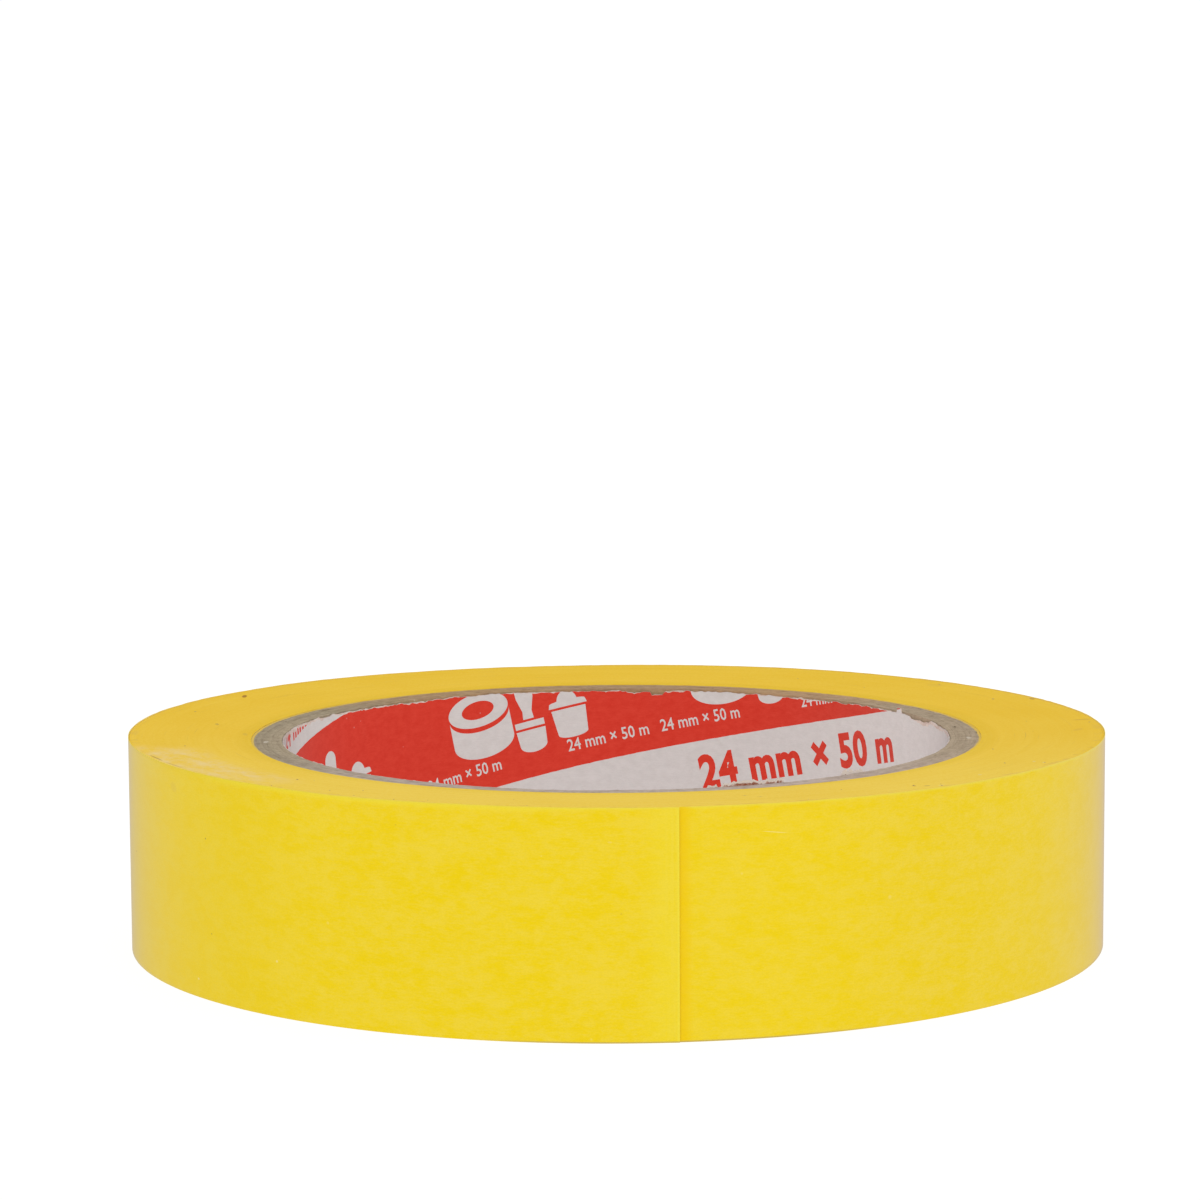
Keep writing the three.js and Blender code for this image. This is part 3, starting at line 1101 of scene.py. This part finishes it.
def print_shapes():
    """Every printed shape as (segments in u, z; the ground it stands on). The shapes run round in rows."""
    shapes = []
    span = AROUND * math.cos(SLOPE)
    for turn in (-1, 0, 1):
        lift = turn * BAND_PERIOD
        for k in range(-4, 7):
            # white on the red band: pictograms, and a small line under them
            for shape in pictograms():
                shapes.append((shape + (-17.1 + 31.1 * k, 18.0 + lift), 1))
            shapes.append(
                (fitted(small, 22.3, 1.5) + (-2.6 + 31.1 * k, 16.3 + lift), 1)
            )
            # red on the bare band: the size in figures
            shapes.append((fitted(big, 22.0, 3.2) + (-53.0 + 31.1 * k, 32.35 + lift), 0))
        for k in range(-3, 4):
            # and once more, larger
            shapes.append((fitted(big, 30.2, 4.15) + (13.0 + 62.2 * k, 8.15 + lift), 0))
    placed = []
    for seg, ground in shapes:
        u, z = from_print(seg[..., 0], seg[..., 1])
        seg = np.stack([u, z], -1)
        lo, hi = seg.reshape(-1, 2).min(0), seg.reshape(-1, 2).max(0)
        if hi[0] < -AROUND / 2 or lo[0] > AROUND / 2 or hi[1] < 0.4 or lo[1] > 23.6:
            continue
        placed.append((seg, ground, lo, hi))
    return placed


top_low = Wave(71, AROUND, 6.0, 2)
top_teeth = Wave(72, AROUND, 0.9, 3, 0.7)
rim_low = Wave(73, AROUND, 3.0, 2)
rim_teeth = Wave(74, AROUND, 0.6, 2, 0.7)


def bump_at(u, centre, half, rise):
    """A flat-topped bump round a place on the edge."""
    d = np.clip(1.25 - np.abs(np.asarray(u) - centre) / half, 0, 1)
    return rise * np.clip(d * 3, 0, 1)


def top_edge(u):
    """Height of the liner's torn upper edge."""
    z = LINER_TOP + 0.05 + 0.05 * top_low(u) + 0.075 * top_teeth(u)
    front = np.clip(-np.cos(np.asarray(u, float) / AROUND * 2 * math.pi), 0, 1)
    z = z - 0.13 * front**3
    z = z - bump_at(u, 5.2, 0.75, 0.5) - bump_at(u, 3.2, 1.0, 0.16)
    z = z - bump_at(u, -26.0, 2.2, 0.10) - bump_at(u, 1.9, 0.5, 0.10)
    z = z + bump_at(u, 41.6, 0.42, 0.5)  # a torn lip standing over the board
    z = z - bump_at(u, 47.0, 2.6, 0.30) + bump_at(u, 55.0, 5.0, 0.08)
    z = z + bump_at(u, -52.0, 11.0, 0.10)
    # torn paper standing up at the near edge: 16 to 23 and 39 to 43 degrees
    for centre, half, rise in (
        (106.3, 1.7, 0.76),
        (109.2, 0.5, 0.55),
        (104.1, 0.5, 0.7),
        (102.8, 0.7, 0.66),
        (101.5, 0.4, 0.60),
        (92.2, 1.1, 0.65),
        (90.6, 0.4, 0.45),
    ):
        z = z + bump_at(u, centre, half, rise) * (0.75 + 0.25 * top_teeth(u * 3.1))
    return z


def torn_width(u):
    """Width of the bare torn rim under the upper edge."""
    w = 0.03 + 0.09 * rim_low(u) + 0.09 * rim_teeth(u)
    w = w + bump_at(u, -45.0, 16.0, 0.08)
    w = w + bump_at(u, -56.0, 3.5, 0.30) + bump_at(u, 53.5, 6.5, 0.34) + bump_at(u, -49.0, 5.0, 0.10)
    w = w + bump_at(u, 105.3, 3.8, 0.3) + bump_at(u, 92.2, 2.0, 0.3)
    return np.clip(w, 0.012, None)


def bottom_edge(u):
    return LINER_BOTTOM + 0.03 * top_low(u + 50) + 0.03 * top_teeth(u + 20)


def liner():
    half = AROUND / 2 - 0.03
    step = 0.22
    us = np.arange(-half, half, step)
    us = np.append(us[:-1], half)
    upper, lower = top_edge(us), bottom_edge(us)
    rim = upper - torn_width(us)
    verts, lines = [], []

    def polyline(points, closed=False):
        first = len(verts)
        verts.extend(map(tuple, points))
        n = len(points)
        for k in range(n - 1):
            lines.append((first + k, first + k + 1))
        if closed:
            lines.append((first + n - 1, first))
        return list(range(first, first + n))

    border = np.concatenate(
        [np.column_stack([us, upper]), np.column_stack([us, lower])[::-1]]
    )
    polyline(border, True)
    polyline(np.column_stack([us, rim]))
    # columns that carry the curve of the bore
    for u in np.linspace(-half, half, 262)[1:-1]:
        polyline([(u, float(bottom_edge(u)) - 0.5), (u, float(top_edge(u)) + 0.5)])
    for b in (BAND_LOW, BAND_HIGH):
        for turn in (-1, 0, 1):
            level = b + turn * BAND_PERIOD
            # slightly uneven edge of the printed band
            u = np.linspace(-half, half, 400)
            z = (level + u * math.sin(SLOPE)) / math.cos(SLOPE)
            z = z + 0.02 * top_teeth(u * 1.3 + level)
            keep = (z > -1) & (z < 25)
            if keep.sum() > 1:
                polyline(np.column_stack([u, z])[keep])
    shapes = print_shapes()
    for seg, _, _, _ in shapes:
        flat = seg.reshape(-1, 2)
        first = len(verts)
        verts.extend(map(tuple, flat))
        lines.extend((first + 2 * k, first + 2 * k + 1) for k in range(len(seg)))
    co, _, tris, *_ = delaunay_2d_cdt(
        [Vector(v) for v in verts], lines, [], 0, 1e-4, False
    )
    co = np.array([tuple(v) for v in co])
    tris = np.array([t for t in tris if len(t) == 3])
    mid = co[tris].mean(1)
    u, z = mid[:, 0], mid[:, 1]
    area = 0.5 * np.cross(co[tris[:, 1]] - co[tris[:, 0]], co[tris[:, 2]] - co[tris[:, 0]])

    def between(line_u, line_z, at):
        return np.interp(at, line_u, line_z)

    inside = (
        (np.abs(u) < half)
        & (z < between(us, upper, u))
        & (z > between(us, lower, u))
        & (np.abs(area) > 1e-9)
    )
    tris, u, z, area = tris[inside], u[inside], z[inside], area[inside]
    b = across_print(u, z) - 0.02 * top_teeth(u * 1.3 + BAND_LOW) * 0
    phase = (b - BAND_LOW) % BAND_PERIOD
    red = phase < BAND_HIGH - BAND_LOW
    for seg, ground, lo, hi in shapes:
        near = np.nonzero((u > lo[0]) & (u < hi[0]) & (z > lo[1]) & (z < hi[1]))[0]
        if not len(near):
            continue
        pu, pz = u[near][:, None], z[near][:, None]
        x1, y1, x2, y2 = seg[:, 0, 0], seg[:, 0, 1], seg[:, 1, 0], seg[:, 1, 1]
        spans = (y1 > pz) != (y2 > pz)
        with np.errstate(divide="ignore", invalid="ignore"):
            cut = x1 + (pz - y1) * (x2 - x1) / (y2 - y1)
        odd = (spans & (pu < cut)).sum(1) % 2 == 1
        red[near[odd]] = ground == 0
    torn = z > between(us, rim, u)
    kind = np.where(torn, 2, np.where(red, 0, 1))
    # drop unused points and lift the sheet into the bore
    used, inverse = np.unique(tris, return_inverse=True)
    tris = inverse.reshape(-1, 3)
    co = co[used]
    flip = area < 0
    tris[flip] = tris[flip][:, ::-1]
    n = len(co)
    deg = 180 + co[:, 0] / AROUND * 360 * -1
    ragged = np.clip((co[:, 1] - (between(us, rim, co[:, 0]))) / 0.3, 0, 1)
    near_rim = BORE_R + LINER_T * 0.35 * ragged
    inner = np.column_stack([on_plan(near_rim, deg), co[:, 1]])
    outer = np.column_stack([on_plan(np.full(n, BORE_R + LINER_T), deg), co[:, 1]])
    edge = {}
    for t in tris:
        for p, q in ((t[0], t[1]), (t[1], t[2]), (t[2], t[0])):
            if (q, p) in edge:
                del edge[(q, p)]
            else:
                edge[(p, q)] = True
    faces = [tuple(map(int, t)) for t in tris]
    faces += [tuple(int(v) + n for v in t[::-1]) for t in tris]
    kinds = list(kind) + [3] * len(tris)
    for p, q in edge:
        faces.append((int(q), int(p), int(p) + n, int(q) + n))
        kinds.append(2)
    coords = np.column_stack([co, np.zeros(n)])
    depth = between(us, upper, co[:, 0]) - co[:, 1]
    behind = np.column_stack([co, depth])
    obj = make_mesh(
        "liner_paper",
        np.concatenate([inner, outer]),
        faces,
        [red_ink, white_stock, torn_stock, torn_back],
        kinds,
        {"print_mm": np.concatenate([coords, behind])},
        60,
    )
    return orient(obj)


paper = liner()
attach(paper, "roll")
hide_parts("printed_liner")


# ---- floor, light, camera --------------------------------------------------------------


def floor_material():
    n = Nodes("pale_floor")
    where = n.new("ShaderNodeTexCoord").outputs["Object"]
    mottle = n.noise(where, 3.0, 3.0, 0.5)
    color = n.mix(mottle, (0.11, 0.11, 0.11), (0.13, 0.13, 0.13))
    return n.surface(
        color,
        0.9,
        None,
        Emission_Color=(1.0, 1.0, 1.0),
        Emission_Strength=0.92,
    )


count = 96
ring = [
    (12 * math.cos(2 * math.pi * k / count), 12 * math.sin(2 * math.pi * k / count), 0)
    for k in range(count)
]
floor_mesh = bpy.data.meshes.new("floor")
floor_mesh.from_pydata(
    [(0, 0, 0)] + ring, [], [(0, k + 1, (k + 1) % count + 1) for k in range(count)]
)
floor_mesh.materials.append(floor_material())
floor = bpy.data.objects.new("floor", floor_mesh)
floor.location = (0, 0, -0.00001)
scene.collection.objects.link(floor)

world = bpy.data.worlds.new("studio")
scene.world = world
world.use_nodes = True
tree = world.node_tree
tree.nodes.clear()


def world_node(kind, **settings):
    node = tree.nodes.new(kind)
    for key, value in settings.items():
        setattr(node, key, value)
    return node


where = world_node("ShaderNodeTexCoord")
axes = world_node("ShaderNodeSeparateXYZ")
tree.links.new(where.outputs["Generated"], axes.inputs[0])
height = world_node("ShaderNodeMapRange", interpolation_type="SMOOTHSTEP")
tree.links.new(axes.outputs["Z"], height.inputs["Value"])
height.inputs["From Min"].default_value = 0.20
height.inputs["From Max"].default_value = 0.50
height.inputs["To Min"].default_value = 1.075
height.inputs["To Max"].default_value = 0.885
# the room is a little brighter on the right
side = world_node("ShaderNodeMapRange", interpolation_type="SMOOTHSTEP")
tree.links.new(axes.outputs["X"], side.inputs["Value"])
side.inputs["From Min"].default_value = -0.55
side.inputs["From Max"].default_value = 0.55
side.inputs["To Min"].default_value = 0.93
side.inputs["To Max"].default_value = 1.025
level = world_node("ShaderNodeMath", operation="MULTIPLY")
tree.links.new(height.outputs["Result"], level.inputs[0])
tree.links.new(side.outputs["Result"], level.inputs[1])
background = world_node("ShaderNodeBackground")
background.inputs["Color"].default_value = (1, 1, 1, 1)
tree.links.new(level.outputs[0], background.inputs["Strength"])
world_out = world_node("ShaderNodeOutputWorld")
tree.links.new(background.outputs[0], world_out.inputs["Surface"])


def softbox(name, at, size, power, toward=(0, 0, 0.012)):
    light = bpy.data.lights.new(name, "AREA")
    light.shape = "RECTANGLE"
    light.size, light.size_y = size
    light.energy = power
    obj = bpy.data.objects.new(name, light)
    obj.location = at
    obj.rotation_euler = (
        (Vector(toward) - Vector(at)).to_track_quat("-Z", "Y").to_euler()
    )
    scene.collection.objects.link(obj)
    return obj


softbox("softbox_front", (0.20, -1.2, 1.1), (1.2, 0.9), 1.2)

LENS = 111.803
PITCH, ROLL, YAW = 6.4375 * RAD, -0.3088 * RAD, -0.2376 * RAD
forward = Vector(
    (math.sin(YAW) * math.cos(PITCH), math.cos(YAW) * math.cos(PITCH), -math.sin(PITCH))
)
right0 = Vector((math.cos(YAW), -math.sin(YAW), 0))
up0 = right0.cross(forward)
right = math.cos(ROLL) * right0 + math.sin(ROLL) * up0
up = math.cos(ROLL) * up0 - math.sin(ROLL) * right0
camera_data = bpy.data.cameras.new("camera")
camera_data.lens = LENS
camera_data.sensor_width = 36.0
camera_data.sensor_fit = "HORIZONTAL"
camera_data.clip_start, camera_data.clip_end = 0.02, 60.0
camera = bpy.data.objects.new("camera", camera_data)
turn = Matrix((right, up, -forward)).transposed().to_4x4()
camera.matrix_world = Matrix.Translation(Vector((0, -0.42316, 0.08643))) @ turn
scene.collection.objects.link(camera)
scene.camera = camera

scene.view_settings.view_transform = "Standard"
scene.view_settings.look = "None"
